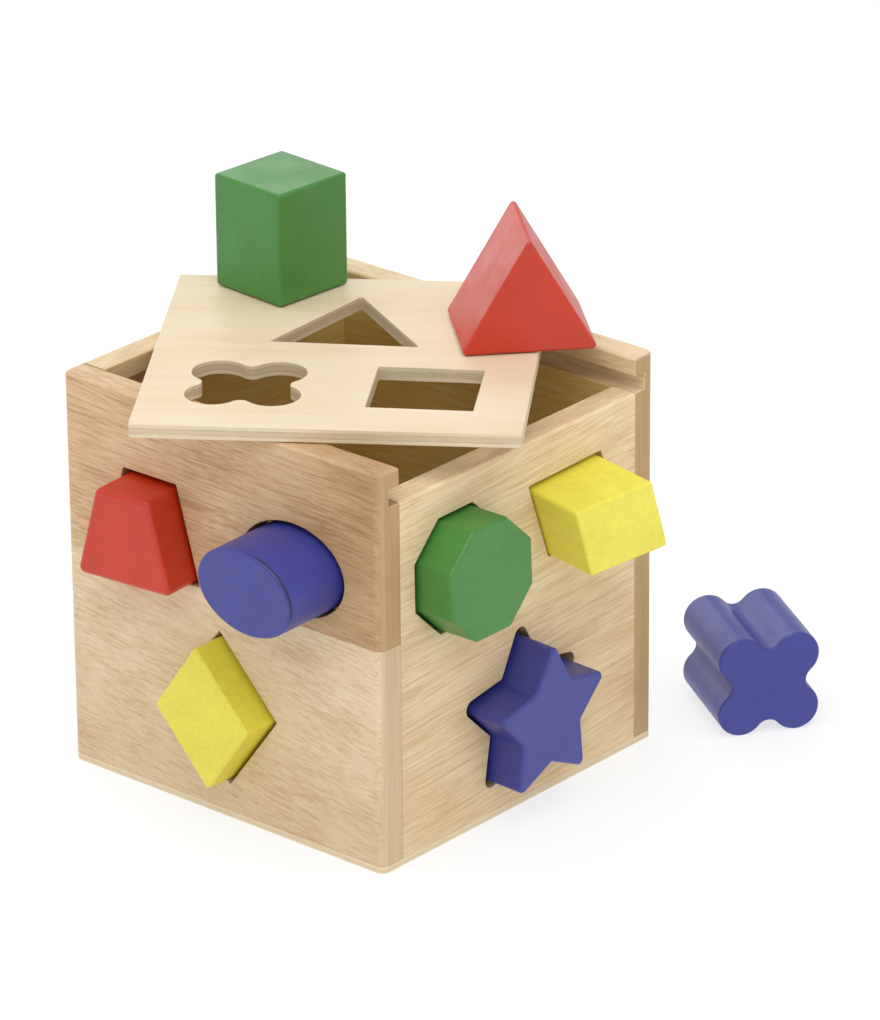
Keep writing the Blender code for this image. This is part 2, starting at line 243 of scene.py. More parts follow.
def rounded_prism(outline, length, rounding, steps, unevenness=0.0, seed=0):
    """An outline drawn out along Z about z = 0, with its end edges rounded, a little unevenly if asked."""
    rings = []
    for i in range(steps + 1):
        angle = QUARTER * i / steps
        rings.append((rounding * (math.sin(angle) - 1), -length / 2 + rounding * (1 - math.cos(angle))))
    rings += [(grow, -z) for grow, z in reversed(rings)]
    bm = rings_to_bmesh([(outline(grow), z) for grow, z in rings])
    if unevenness:
        bm.normal_update()
        edge_band = length / 2 - rounding * 0.98
        for vert in bm.verts:
            if abs(vert.co.z) < edge_band or len(vert.link_faces) < 4:
                continue
            swell = 0.5 + 0.5 * noise.noise(vert.co * PAINT_LUMPS + Vector((seed, 0, 0)))
            vert.co -= vert.normal * unevenness * swell
    return bm


def soften(bm, radius, segments, test=None):
    """Rounds the sharp convex edges, or those of them whose two ends pass the test."""
    edges = []
    for edge in bm.edges:
        if len(edge.link_faces) == 2 and edge.calc_face_angle_signed() > CREASED:
            if test is None or test(*(vert.co for vert in edge.verts)):
                edges.append(edge)
    bmesh.ops.bevel(bm, geom=edges, offset=radius, segments=segments, profile=0.5, affect="EDGES")


def drawn_board(profile, start, end, axes):
    """A profile of (u, z) corners drawn out from start to end; axes maps (u, along, z) to a point."""
    bm = bmesh.new()
    near = [bm.verts.new(axes(u, start, z)) for u, z in profile]
    far = [bm.verts.new(axes(u, end, z)) for u, z in profile]
    bm.faces.new(near)
    bm.faces.new(list(reversed(far)))
    count = len(profile)
    for i in range(count):
        bm.faces.new((near[i], far[i], far[(i + 1) % count], near[(i + 1) % count]))
    bmesh.ops.recalc_face_normals(bm, faces=bm.faces)
    return bm


def routed_cutter(outline, thickness, rim, matrix):
    """What a router takes away: a straight hole whose two rims flare out in a quarter round of radius rim."""
    flare = []
    for i in range(6):
        angle = RIM_STEP * i
        out = CLEARANCE + rim * (1 - math.cos(angle))
        flare.append((out, thickness / 2 + rim * (math.sin(angle) - math.sin(RIM_END))))
    flare.append((flare[-1][0], thickness / 2 + CUTTER_REACH))
    rings = [(grow, -z) for grow, z in reversed(flare)] + flare
    bm = rings_to_bmesh([(outline(grow, hole=True), z) for grow, z in rings])
    mesh = bpy.data.meshes.new("cutter")
    bm.to_mesh(mesh)
    bm.free()
    obj = bpy.data.objects.new("cutter", mesh)
    bpy.context.scene.collection.objects.link(obj)
    obj.matrix_world = matrix
    return obj


def finish_mesh(obj, cutters=()):
    """Cuts the holes, gives every rounding its own shading, and stores where the arrises are as wear."""
    for tool in cutters:
        modifier = obj.modifiers.new("hole", "BOOLEAN")
        modifier.operation = "DIFFERENCE"
        modifier.solver = "EXACT"
        modifier.object = tool
    obj.data.shade_smooth()
    modifier = obj.modifiers.new("normals", "WEIGHTED_NORMAL")
    modifier.weight = 100
    bpy.context.view_layer.update()
    graph = bpy.context.evaluated_depsgraph_get()
    mesh = bpy.data.meshes.new_from_object(obj.evaluated_get(graph), depsgraph=graph)
    obj.modifiers.clear()
    obj.data = mesh
    mesh.name = obj.name
    for tool in cutters:
        bpy.data.objects.remove(tool, do_unlink=True)
    store_wear(mesh)


def store_wear(mesh):
    """A point attribute: how tightly the surface bends outwards, 1 for a radius of a millimetre or less."""
    bm = bmesh.new()
    bm.from_mesh(mesh)
    values = [0.0] * len(bm.verts)
    for edge in bm.edges:
        if len(edge.link_faces) != 2:
            continue
        angle = edge.calc_face_angle_signed(0.0)
        length = edge.calc_length()
        if angle <= 0 or length < 1e-7:
            continue
        span = sum(face.calc_area() for face in edge.link_faces) / (2 * length)
        bend = min(1.0, angle / max(span, 1e-7) * MM)
        for vert in edge.verts:
            values[vert.index] = max(values[vert.index], bend)
    bm.free()
    attribute = mesh.attributes.new("wear", "FLOAT", "POINT")
    attribute.data.foreach_set("value", values)


def add_piece(name, bm, matrix, body, node, material, cutters=()):
    """A visible piece from a mesh in the frame given by matrix, which is baked into it."""
    bm.transform(matrix)
    mesh = bpy.data.meshes.new(name)
    bm.to_mesh(mesh)
    bm.free()
    obj = bpy.data.objects.new(name, mesh)
    bpy.context.scene.collection.objects.link(obj)
    finish_mesh(obj, cutters)
    obj.data.materials.clear()
    obj.data.materials.append(material)
    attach(obj, body)
    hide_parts(node)


# ---------------------------------------------------------------- materials

def screen(red, green, blue):
    """The linear colour of an 8-bit screen colour."""
    def linear(value):
        value /= 255
        return value / 12.92 if value <= 0.04045 else ((value + 0.055) / 1.055) ** 2.4

    return (linear(red), linear(green), linear(blue), 1.0)


def scaled(colour, share):
    """A linear colour made darker or lighter."""
    return [min(1.0, share * value) for value in colour[:3]] + [1.0]


class Graph:
    """Short calls that add nodes to one material."""

    def __init__(self, name, home=Matrix()):
        """home is the frame that the pattern is laid out in, such as a block's own axes."""
        self.material = bpy.data.materials.new(name)
        self.material.use_nodes = True
        self.tree = self.material.node_tree
        self.shader = self.tree.nodes["Principled BSDF"]
        inward = home.inverted()
        inputs = {
            "Vector": self.node("ShaderNodeTexCoord").outputs["Object"],
            "Scale": (1000,) * 3,
            "Rotation": inward.to_euler(),
            "Location": inward.translation * 1000,
        }
        self.at_home = self.node("ShaderNodeMapping", inputs).outputs[0]

    def node(self, kind, inputs=None, **settings):
        made = self.tree.nodes.new(kind)
        for key, value in settings.items():
            setattr(made, key, value)
        for key, value in (inputs or {}).items():
            self.feed(made.inputs[key], value)
        return made

    def feed(self, socket, value):
        if isinstance(value, bpy.types.NodeSocket):
            self.tree.links.new(value, socket)
        else:
            socket.default_value = value

    def place(self, rotation=(0, 0, 0), shift=(0, 0, 0)):
        """A point's place in millimetres, turned and shifted."""
        inputs = {"Vector": self.at_home, "Rotation": rotation, "Location": shift}
        return self.node("ShaderNodeMapping", inputs).outputs[0]

    def vector(self, operation, a, b):
        return self.node("ShaderNodeVectorMath", {0: a, 1: b}, operation=operation).outputs[0]

    def distance(self, a, b):
        return self.node("ShaderNodeVectorMath", {0: a, 1: b}, operation="DISTANCE").outputs["Value"]

    def math(self, operation, a, b=0.0, c=0.0):
        return self.node("ShaderNodeMath", {0: a, 1: b, 2: c}, operation=operation).outputs[0]

    def remap(self, value, low, high, to_low=0.0, to_high=1.0, smooth=False):
        kind = "SMOOTHSTEP" if smooth else "LINEAR"
        inputs = {"Value": value, "From Min": low, "From Max": high, "To Min": to_low, "To Max": to_high}
        return self.node("ShaderNodeMapRange", inputs, interpolation_type=kind).outputs[0]

    def noise(self, place, stretch, detail=2.0, roughness=0.5, colour=False):
        """Noise whose lumps are 1 / stretch long on each axis."""
        at = self.vector("MULTIPLY", place, stretch)
        inputs = {"Vector": at, "Scale": 1.0, "Detail": detail, "Roughness": roughness}
        return self.node("ShaderNodeTexNoise", inputs).outputs[1 if colour else 0]

    def cells(self, place, stretch):
        """(distance to the nearest cell's middle, that cell's random colour)."""
        at = self.vector("MULTIPLY", place, stretch)
        made = self.node("ShaderNodeTexVoronoi", {"Vector": at, "Scale": 1.0})
        return made.outputs["Distance"], made.outputs["Color"]

    def red_of(self, colour):
        return self.node("ShaderNodeSeparateColor", {0: colour}).outputs[0]

    def mix(self, factor, a, b, blend="MIX"):
        made = self.node("ShaderNodeMix", data_type="RGBA", blend_type=blend, clamp_factor=True)
        self.feed(made.inputs[0], factor)
        self.feed(made.inputs[6], a)
        self.feed(made.inputs[7], b)
        return made.outputs[2]

    def ramp(self, value, *stops):
        made = self.node("ShaderNodeValToRGB", {0: value})
        elements = made.color_ramp.elements
        while len(elements) < len(stops):
            elements.new(0.5)
        for element, (position, colour) in zip(elements, stops):
            element.position = position
            element.color = colour
        return made.outputs[0]

    def wear(self):
        return self.node("ShaderNodeAttribute", attribute_name="wear").outputs["Fac"]

    def finish(self, colour, roughness, height, depth, specular):
        """Colour, roughness and a bump of the given depth in millimetres go to the shader."""
        bump = self.node("ShaderNodeBump", {"Height": height, "Distance": depth * MM, "Strength": 1.0})
        self.feed(self.shader.inputs["Base Color"], colour)
        self.feed(self.shader.inputs["Roughness"], roughness)
        self.feed(self.shader.inputs["Normal"], bump.outputs[0])
        self.shader.inputs["Specular IOR Level"].default_value = specular
        return self.material


FADE_TINT = (0.62, 0.52, 0.38, 1.0)  # what the wood is multiplied by where it darkens
# Painted shade for the faces inside the box, darker and deeper in colour than the wood itself.
INSIDE_SHADE_DARK = (0.84, 0.58, 0.15, 1.0)
INSIDE_SHADE_PALE = (0.97, 0.78, 0.32, 1.0)


def solid_wood(name, dark, middle, pale, end, turn, shift, end_axis, flecks, fade=None, length=1.0):
    """Sawn and sanded board wood, whose grain runs along X after the turn.

    end is the colour of its end grain, which faces along end_axis (0 for X, 1 for Y). fade says along which
    axis, from where to where and by how much it darkens, and length is how long its grain lines are, where 1
    is about 18 mm. Inside the box the wood is painted darker and deeper in colour, as painted shade.
    """
    g = Graph(name)
    at = g.place(turn, shift)
    drift = g.vector("SUBTRACT", g.noise(at, (0.012, 0.025, 0.025), 2.0, colour=True), (0.5, 0.5, 0.5))
    bent = g.vector("ADD", at, g.vector("MULTIPLY", drift, (0.0, 6.0, 6.0)))
    mottle = g.remap(g.noise(bent, (0.03, 0.07, 0.07), 3.0, 0.6), 0.3, 0.7)
    streaks = g.remap(g.noise(bent, (0.055 / length, 1.1, 1.1), 4.0, 0.62), 0.3, 0.7)
    fibres = g.remap(g.noise(bent, (0.15 / length, 2.7, 2.7), 3.0, 0.6), 0.28, 0.72)
    tone = g.math("MULTIPLY", mottle, 0.28)
    tone = g.math("MULTIPLY_ADD", streaks, 0.38, tone)
    tone = g.math("MULTIPLY_ADD", fibres, 0.34, tone)
    colour = g.ramp(tone, (0.27, dark), (0.5, middle), (0.74, pale))
    distance, cell = g.cells(bent, (0.22 / length, 1.7, 1.7))
    fleck = g.math("MULTIPLY", g.remap(distance, 0.45, 0.15, smooth=True), g.remap(g.red_of(cell), 0.4, 0.7))
    patch = g.remap(g.noise(bent, (0.02, 0.08, 0.08), 2.0), 0.38, 0.6, 0.15, 1.0)
    fleck = g.math("MULTIPLY", fleck, patch)
    colour = g.mix(g.math("MULTIPLY", fleck, flecks), colour, dark)
    x, y, z = g.node("ShaderNodeSeparateXYZ", {0: g.place()}).outputs
    if fade:
        axis, start, stop, amount = fade
        faded = g.remap((x, y, z)[axis], start, stop, 0.0, amount)
        colour = g.mix(faded, colour, FADE_TINT, "MULTIPLY")
    faces = g.node("ShaderNodeSeparateXYZ", {0: g.node("ShaderNodeTexCoord").outputs["Normal"]})
    on_end = g.remap(g.math("ABSOLUTE", faces.outputs[end_axis]), 0.55, 0.95, smooth=True)
    section = g.remap(g.noise(g.place((0, 0, 0), shift), (0.55, 0.55, 0.02), 3.0, 0.55), 0.3, 0.7)
    colour = g.mix(on_end, colour, g.mix(section, scaled(end, 0.9), scaled(end, 1.08)))
    rubbed = g.math("MULTIPLY", g.wear(), g.remap(g.noise(at, (0.25, 0.25, 0.25)), 0.3, 0.6, 0.1, 0.4))
    colour = g.mix(rubbed, colour, pale)
    # Painted shade on the faces within the walls, less so at the lips above the groove's ledge.
    widest = g.math("MAXIMUM", g.math("ABSOLUTE", x), g.math("ABSOLUTE", y))
    inside = g.math("MULTIPLY", g.remap(widest, 60.6, 60.3), g.remap(z, 135.0, 127.0, 0.2, 0.95, smooth=True))
    colour = g.mix(inside, colour, g.mix(streaks, INSIDE_SHADE_DARK, INSIDE_SHADE_PALE))
    rough = g.math("MULTIPLY_ADD", fibres, -0.1, 0.58)
    rough = g.math("MULTIPLY_ADD", fleck, 0.12, rough)
    height = g.math("MULTIPLY_ADD", fibres, 0.22, g.math("MULTIPLY", fleck, -0.5))
    height = g.math("MULTIPLY_ADD", streaks, 0.2, height)
    return g.finish(colour, rough, g.math("MULTIPLY", height, g.remap(on_end, 0.0, 1.0, 1.0, 0.2)), 0.07, 0.3)


def plywood(name, home, face, face_dark, edge, edge_dark, glue, thickness, shift, knot=None):
    """Three-ply sheet: fine face veneer, and its plies in soft bands down every edge.

    Z is its thickness, in millimetres here, and knot is where one edge has a small knot.
    """
    g = Graph(name, home)
    at = g.place((0, 0, 0), shift)
    height = g.node("ShaderNodeSeparateXYZ", {0: g.place()}).outputs[2]
    drift = g.vector("SUBTRACT", g.noise(at, (0.008, 0.02, 0.02), 1.0, colour=True), (0.5, 0.5, 0.5))
    bent = g.vector("ADD", at, g.vector("MULTIPLY", drift, (0.0, 14.0, 14.0)))
    cloud = g.remap(g.noise(at, (0.012, 0.03, 0.03), 2.0), 0.3, 0.7)
    rings = g.remap(g.noise(bent, (0.006, 0.13, 0.13), 3.0, 0.6), 0.3, 0.7)
    fibres = g.remap(g.noise(bent, (0.04, 1.3, 1.3), 3.0, 0.6), 0.3, 0.7)
    tone = g.math("MULTIPLY_ADD", rings, 0.3, g.math("MULTIPLY", fibres, 0.25))
    tone = g.math("MULTIPLY_ADD", cloud, 0.45, tone)
    veneer = g.ramp(tone, (0.15, face_dark), (0.7, face))
    # Down an edge: two paler face plies round a greyer core, with fine broken glue lines between.
    wave = g.math("MULTIPLY_ADD", g.noise(at, (0.1, 0.1, 0.0), 2.0), 0.4, g.math("ADD", height, -0.2))
    core = g.remap(g.math("ABSOLUTE", wave), thickness * 0.24, thickness * 0.14, smooth=True)
    lines = g.remap(g.noise(at, (0.03, 0.03, 2.6), 3.0, 0.6), 0.3, 0.7)
    plies = g.mix(g.math("MULTIPLY_ADD", lines, 0.5, g.math("MULTIPLY", core, 0.5)), edge, edge_dark)
    seam = g.math("ABSOLUTE", g.math("SUBTRACT", g.math("ABSOLUTE", wave), thickness * 0.19))
    seam = g.remap(seam, 0.16, 0.03, smooth=True)
    patchy = g.remap(g.noise(at, (0.2, 0.2, 0.2), 2.0), 0.35, 0.62, 0.1, 0.55)
    sides = g.mix(g.math("MULTIPLY", seam, patchy), plies, glue)
    away = g.math("SUBTRACT", thickness / 2, g.math("ABSOLUTE", height))
    on_edge = g.remap(away, 0.05, 0.28, smooth=True)
    colour = g.mix(on_edge, veneer, sides)
    if knot:
        from_knot = g.distance(g.vector("MULTIPLY", g.place(), (1.0, 1.0, 1.4)), knot)
        spot = g.remap(from_knot, 1.5, 0.7, smooth=True)
        colour = g.mix(g.math("MULTIPLY", spot, 0.75), colour, glue)
    rough = g.math("MULTIPLY_ADD", on_edge, 0.15, g.remap(fibres, 0.0, 1.0, 0.52, 0.44))
    relief = g.math("MULTIPLY_ADD", g.math("MULTIPLY", lines, on_edge), 0.4, g.math("MULTIPLY", fibres, 0.15))
    return g.finish(colour, rough, relief, 0.07, 0.35)


def painted(name, home, deep, base, light, shift, dark_front_edge_line=False):
    """Satin paint on a wooden block. The block's grain runs along Z and shows faintly through the paint."""
    g = Graph(name, home)
    at = g.place((0, 0, 0), shift)
    cloud = g.remap(g.noise(at, (0.05, 0.05, 0.04), 2.0), 0.3, 0.7)
    grain = g.remap(g.noise(at, (0.7, 0.7, 0.04), 4.0, 0.6), 0.3, 0.7)
    speck = g.remap(g.noise(at, (0.4, 0.4, 0.4), 3.0, 0.6), 0.3, 0.7)
    tone = g.math("MULTIPLY", cloud, 0.4)
    tone = g.math("MULTIPLY_ADD", grain, 0.33, tone)
    tone = g.math("MULTIPLY_ADD", speck, 0.27, tone)
    colour = g.ramp(tone, (0.2, deep), (0.5, base), (0.8, light))
    distance, cell = g.cells(at, (1.3, 1.3, 0.1))
    pore = g.math("MULTIPLY", g.remap(distance, 0.3, 0.1), g.remap(g.red_of(cell), 0.6, 0.9))
    colour = g.mix(g.math("MULTIPLY", pore, 0.2), colour, deep)
    thin = g.math("MULTIPLY", g.wear(), g.remap(g.noise(at, (0.3, 0.3, 0.3), 3.0), 0.5, 0.75, 0.0, 0.4))
    colour = g.mix(thin, colour, light)
    if dark_front_edge_line:
        # A dark line is drawn into the colour along part of the front edge.
        x, y, z = g.node("ShaderNodeSeparateXYZ", {0: g.place()}).outputs
        off = g.math("ABSOLUTE", g.math("SUBTRACT", z, BLOCK_LENGTH / MM / 2 - 0.9))
        line = g.math("MULTIPLY", g.remap(off, 0.65, 0.3, smooth=True), g.remap(x, 1.0, 9.0, smooth=True))
        line = g.math("MULTIPLY", line, g.remap(y, -7.0, -2.0, smooth=True))
        colour = g.mix(g.math("MULTIPLY", line, 0.85), colour, scaled(deep, 0.12))
    peel = g.noise(at, (0.45, 0.45, 0.45), 2.0)
    smudge = g.remap(g.noise(at, (0.07, 0.07, 0.07), 3.0, 0.6), 0.3, 0.7, 0.34, 0.46)
    relief = g.math("MULTIPLY_ADD", grain, 0.3, g.math("MULTIPLY", pore, -0.4))
    relief = g.math("MULTIPLY_ADD", peel, 0.7, relief)
    return g.finish(colour, smudge, relief, 0.04, 0.56)


UPPER_WOOD = solid_wood(
    "upper_board_wood", screen(186, 148, 108), screen(211, 177, 137), screen(226, 196, 158),
    end=screen(186, 150, 108), end_axis=1, turn=(math.radians(-3), 0.0, -QUARTER), shift=(31, 12, -20),
    flecks=0.6, fade=(1, 2.0, -60.0, 0.78), length=1.3)
LOWER_WOOD = solid_wood(
    "lower_board_wood", screen(204, 173, 134), screen(221, 197, 161), screen(230, 208, 174),
    end=screen(208, 180, 144), end_axis=1, turn=(math.radians(-7), 0.0, -QUARTER), shift=(-55, 71, 13),
    flecks=0.45, fade=(2, 55.0, 0.0, 0.35), length=0.6)
FRONT_WOOD = solid_wood(
    "front_board_wood", screen(212, 182, 139), screen(231, 204, 163), screen(242, 221, 182),
    end=screen(200, 172, 130), end_axis=0, turn=(0.0, math.radians(3), 0.0), shift=(17, -3, 41),
    flecks=0.4, fade=(2, 115.0, 35.0, 0.3), length=2.6)
BACK_WOOD = solid_wood(
    "back_board_wood", screen(203, 173, 131), screen(218, 190, 150), screen(231, 209, 171),
    end=screen(196, 166, 126), end_axis=0, turn=(0.0, math.radians(-2), 0.0), shift=(-81, 34, 7), flecks=0.35)
RIGHT_WOOD = solid_wood(
    "right_board_wood", screen(212, 181, 140), screen(229, 203, 163), screen(239, 219, 184),
    end=screen(182, 148, 104), end_axis=1, turn=(math.radians(2), 0.0, -QUARTER), shift=(140, 52, 66),
    flecks=0.3)

# Linear paint colours, the middle of each.
RED = (0.54, 0.030, 0.005)
GREEN = (0.050, 0.218, 0.033)
BLUE = (0.036, 0.042, 0.262)
YELLOW = (0.75, 0.665, 0.052)
# The yellow paint made lighter for the parallelogram alone: painted light, as its faces stand brighter lit.
YELLOW_PAINTED_LIGHTER = (0.83, 0.745, 0.070)


def paint(shape, home, middle, number):
    """A block's paint, with its own patch of the pattern."""
    deep, base, light = (scaled(middle, share) for share in (0.92, 1.0, 1.07))
    shift = (number * 37.0, number * -23.0, number * 11.0)
    return painted(f"{shape}_paint", home, deep, base, light, shift, dark_front_edge_line=shape == "ellipse")


# ---------------------------------------------------------------- places

# A wall's frame looks at it from outside: X to the right, Y up and Z out of the wall.
LEFT_WALL = Matrix(((0, 0, -1, -CUBE / 2), (-1, 0, 0, 0), (0, 1, 0, 0), (0, 0, 0, 1)))
FRONT_WALL = Matrix(((1, 0, 0, 0), (0, 0, -1, -CUBE / 2), (0, 1, 0, 0), (0, 0, 0, 1)))
LID_TOP = HEIGHT + SEAM + LID_THICKNESS
LID = Matrix.Translation((*LID_CENTRE, LID_TOP - LID_THICKNESS / 2)) @ Matrix.Rotation(LID_YAW, 4, "Z")
BASE = Matrix.Translation((0, 0, BOTTOM / 2))

LID_PLY = plywood(
    "lid_plywood", LID, face=screen(231, 212, 183), face_dark=screen(222, 197, 160),
    edge=screen(226, 209, 178), edge_dark=screen(198, 178, 145), glue=screen(112, 86, 56),
    thickness=LID_THICKNESS / MM, shift=(23, -41, 6), knot=(-3.0, 52.0, 1.0))
BASE_PLY = plywood(
    "base_plywood", BASE, face=screen(236, 214, 178), face_dark=screen(222, 196, 158),
    edge=screen(236, 218, 186), edge_dark=screen(214, 192, 156), glue=screen(170, 140, 104),
    thickness=BOTTOM / MM, shift=(-64, 18, 3))

# Each parked block: its wall, its board, where its axis meets the wall's outer face (across, up), how far it
# stands out, how its axis leans (across, up), how it is turned about that axis, where its hole's middle lies
# from that axis (across, up), its outline and its paint.
PARKED = {
    "trapezoid": (LEFT_WALL, "upper", (-30.9, 97.3), 15.6, (5.0, 0.4), 0.4, (0.3, 0.6),
                  trapezoid(39.8 * MM, 22.2 * MM, 32.2 * MM), RED, "red"),
    "ellipse": (LEFT_WALL, "upper", (31.3, 98.6), 21.9, (-3.0, -3.0), 1.2, (0.45, 0.4),
                ellipse(21.4 * MM, 15.2 * MM), BLUE, "blue"),
    "rhombus": (LEFT_WALL, "lower", (-0.2, 39.6), 10.6, (-2.7, -1.7), 3.3, (0.4, 0.2),
                rhombus(43.8 * MM, 52.2 * MM), YELLOW, "yellow"),
    "octagon": (FRONT_WALL, "front", (-31.6, 97.3), 15.5, (-1.7, 1.5), 1.0, (-0.5, 0.2),
                regular_polygon(8, 21.2 * MM, QUARTER / 4), GREEN, "green"),
    "parallelogram": (FRONT_WALL, "front", (28.1, 99.9), 23.1, (-6.6, -4.0), 1.3, (-0.2, 0.1),
                      parallelogram(35.2 * MM, 26.6 * MM, 8.8 * MM), YELLOW_PAINTED_LIGHTER, "yellow"),
    "star": (FRONT_WALL, "front", (0.5, 35.3), 14.1, (-0.4, -1.5), 0.0, (-0.2, 0.5),
             star(28.6 * MM, 15.3 * MM, 2.0 * MM, 1.5 * MM), BLUE, "blue"),
}

LOBE_OFFSET, LOBE_RADIUS = 9.8 * MM, 8.3 * MM
CLOVER = clover(LOBE_OFFSET, LOBE_RADIUS, 4.5 * MM)
CLOVER_HALF = LOBE_OFFSET + LOBE_RADIUS
SQUARE_SIDE = 32.1 * MM
SQUARE_OPENING_SIDE = 33.2 * MM  # the square hole is a little roomier than the others
TRIANGLE_SIDE = 46.6 * MM
SQUARE = regular_polygon(4, SQUARE_SIDE / math.sqrt(2), QUARTER / 2)
SQUARE_OPENING = regular_polygon(4, SQUARE_OPENING_SIDE / math.sqrt(2), QUARTER / 2)
TRIANGLE = regular_polygon(3, TRIANGLE_SIDE / math.sqrt(3), QUARTER)

# Each hole in the lid, from its centre (across, back) and with its turn.
LID_HOLES = (
    (CLOVER, (-29.8, -29.4), 0.0),
    (SQUARE_OPENING, (29.4, -30.1), -1.6),
    (TRIANGLE, (-0.7, 21.4), -2.0),
)

# The loose blocks: the square one's middle, and the front ends of the two that lie on their sides.
SQUARE_PLACE, SQUARE_YAW = (25.3 * MM, 57.0 * MM), math.radians(-4.3)
TRIANGLE_PLACE, TRIANGLE_YAW = (30.8 * MM, -48.7 * MM), math.radians(-41.8)
CLOVER_PLACE, CLOVER_YAW = (97.1 * MM, -99.7 * MM), math.radians(-33.2)


def leaning(place, lean, turn, wall):
    """The frame of a block's axis: its Z leans out of the wall and its origin is on the outer face."""
    across, up = (math.tan(math.radians(angle)) for angle in lean)
    tilt = Vector((0, 0, 1)).rotation_difference(Vector((across, up, 1)))
    at = Matrix.Translation((place[0] * MM, place[1] * MM, 0))
    return wall @ at @ tilt.to_matrix().to_4x4() @ Matrix.Rotation(math.radians(turn), 4, "Z")


def hole_place(place, lean, turn, slack, wall):
    """The frame of the hole that the block passes through, at the middle of the wall's thickness."""
    across, up = (-WALL / 2 * math.tan(math.radians(angle)) for angle in lean)
    middle = ((place[0] + slack[0]) * MM + across, (place[1] + slack[1]) * MM + up, -WALL / 2)
    return wall @ Matrix.Translation(middle) @ Matrix.Rotation(math.radians(turn), 4, "Z")


def lying(front, height, yaw):
    """The frame of a block on its side: its front end's middle is above front, and yaw turns it."""
    turned = Matrix.Translation((*front, height)) @ Matrix.Rotation(yaw, 4, "Z")
    return turned @ Matrix.Translation((0, BLOCK_LENGTH / 2, 0)) @ Matrix.Rotation(QUARTER, 4, "X")


# ---------------------------------------------------------------- the pieces

def is_outer_upright(a, b):
    """True for an edge that runs up one of the box's four outer corners."""
    on_corner = all(abs(abs(v) - CUBE / 2) < NEAR for v in (a.x, a.y, b.x, b.y))
    return on_corner and abs(a.z - b.z) > MM


def is_outer_top(a, b):
    """True for an edge along the outside of the box's top, and not one across a wall's thickness."""
    reach = [max(abs(v.x), abs(v.y)) for v in (a, b)]
    return min(a.z, b.z) > HEIGHT - NEAR and min(reach) > CUBE / 2 - CORNER_ROUND - NEAR


def is_joint(a, b):
    """True for an edge that lies along a glued joint between two boards."""
    return any(max(abs(a.z - joint), abs(b.z - joint)) < NEAR for joint in (GLUE_LINE, BOTTOM))


def is_inner_upright(a, b):
    """True for an edge that meets the front or back board along one of that board's ends."""
    inner = CUBE / 2 - WALL
    on_line = all(abs(abs(v.x) - inner) < 0.2 * MM and abs(v.y) > CUBE / 2 - MM for v in (a, b))
    return on_line and min(a.z, b.z) < GROOVE_FLOOR - MM and abs(a.z - b.z) > MM


def not_at_joint(a, b, low, high):
    """True for an edge away from the board's glued edges, where a light sanding rounds it."""
    joints = [low] + ([high] if high == GLUE_LINE else [])
    return all(abs(v.z - joint) > SEAM for v in (a, b) for joint in joints)


def side_board(side, low, high):
    """A side wall or one of its boards, with the lid groove if it reaches that high."""
    outer = side * CUBE / 2
    inner = side * (CUBE / 2 - WALL)
    groove = side * (CUBE / 2 - WALL + SIDE_GROOVE_DEPTH)
    lip = GROOVE_FLOOR + GROOVE_HEIGHT
    notch = [(inner, GROOVE_FLOOR), (groove, GROOVE_FLOOR), (groove, lip), (inner, lip)]
    profile = [(outer, low), (inner, low), *(notch if high > lip else []), (inner, high), (outer, high)]
    bm = drawn_board(profile, -CUBE / 2, CUBE / 2, lambda x, y, z: (x, y, z))
    soften(bm, CORNER_ROUND, 8, is_outer_upright)
    if high == HEIGHT:
        soften(bm, TOP_ROUND, 5, is_outer_top)
    soften(bm, GLUED_EDGE, 1, is_joint)
    soften(bm, MET_EDGE, 1, is_inner_upright)
    soften(bm, BOARD_EDGE, 3, lambda a, b: not_at_joint(a, b, low, high) and not is_inner_upright(a, b))
    return bm


def cross_board(side, high, grooved):
    """The front or back wall, which stands between the side walls."""
    outer = side * CUBE / 2
    inner = side * (CUBE / 2 - WALL)
    half = CUBE / 2 - WALL
    lip = GROOVE_FLOOR + GROOVE_HEIGHT
    groove = side * (CUBE / 2 - WALL + BACK_GROOVE_DEPTH)
    notch = [(inner, GROOVE_FLOOR), (groove, GROOVE_FLOOR), (groove, lip), (inner, lip)]
    profile = [(outer, BOTTOM), (inner, BOTTOM), *(notch if grooved else []), (inner, high), (outer, high)]
    bm = drawn_board(profile, -half, half, lambda y, x, z: (x, y, z))

    def along_top(a, b):
        return min(a.z, b.z) > high - NEAR and abs(a.x - b.x) > MM

    soften(bm, TOP_ROUND, 5, lambda a, b: along_top(a, b) and abs(a.y - outer) < NEAR)
    soften(bm, TOP_INNER_EDGE, 3, along_top)
    soften(bm, END_EDGE, 1)
    return bm


def wall_cutters(board):
    """What the router takes out of one board: the holes of the blocks parked in it."""
    tools = []
    for wall, its_board, place, _, lean, turn, slack, outline, _, _ in PARKED.values():
        if its_board == board:
            tools.append(routed_cutter(outline, WALL, HOLE_RIM, hole_place(place, lean, turn, slack, wall)))
    return tools


def make_box():
    here = Matrix()
    add_piece("left_upper_board", side_board(-1, GLUE_LINE, HEIGHT), here, "box",
              "left_wall_upper_board", UPPER_WOOD, wall_cutters("upper"))
    add_piece("left_lower_board", side_board(-1, BOTTOM, GLUE_LINE), here, "box",
              "left_wall_lower_board", LOWER_WOOD, wall_cutters("lower"))
    add_piece("right_board", side_board(1, BOTTOM, HEIGHT), here, "box",
              "right_wall_board", RIGHT_WOOD)
    add_piece("front_board", cross_board(-1, GROOVE_FLOOR, False), here, "box",
              "front_wall_board", FRONT_WOOD, wall_cutters("front"))
    add_piece("back_board", cross_board(1, HEIGHT, True), here, "box",
              "back_wall_board", BACK_WOOD)
    sheet = rounded_prism(rectangle(CUBE, CUBE, CORNER_ROUND), BOTTOM, BASE_EDGE, steps=3)
    add_piece("base_sheet", sheet, BASE, "box", "bottom_panel", BASE_PLY)


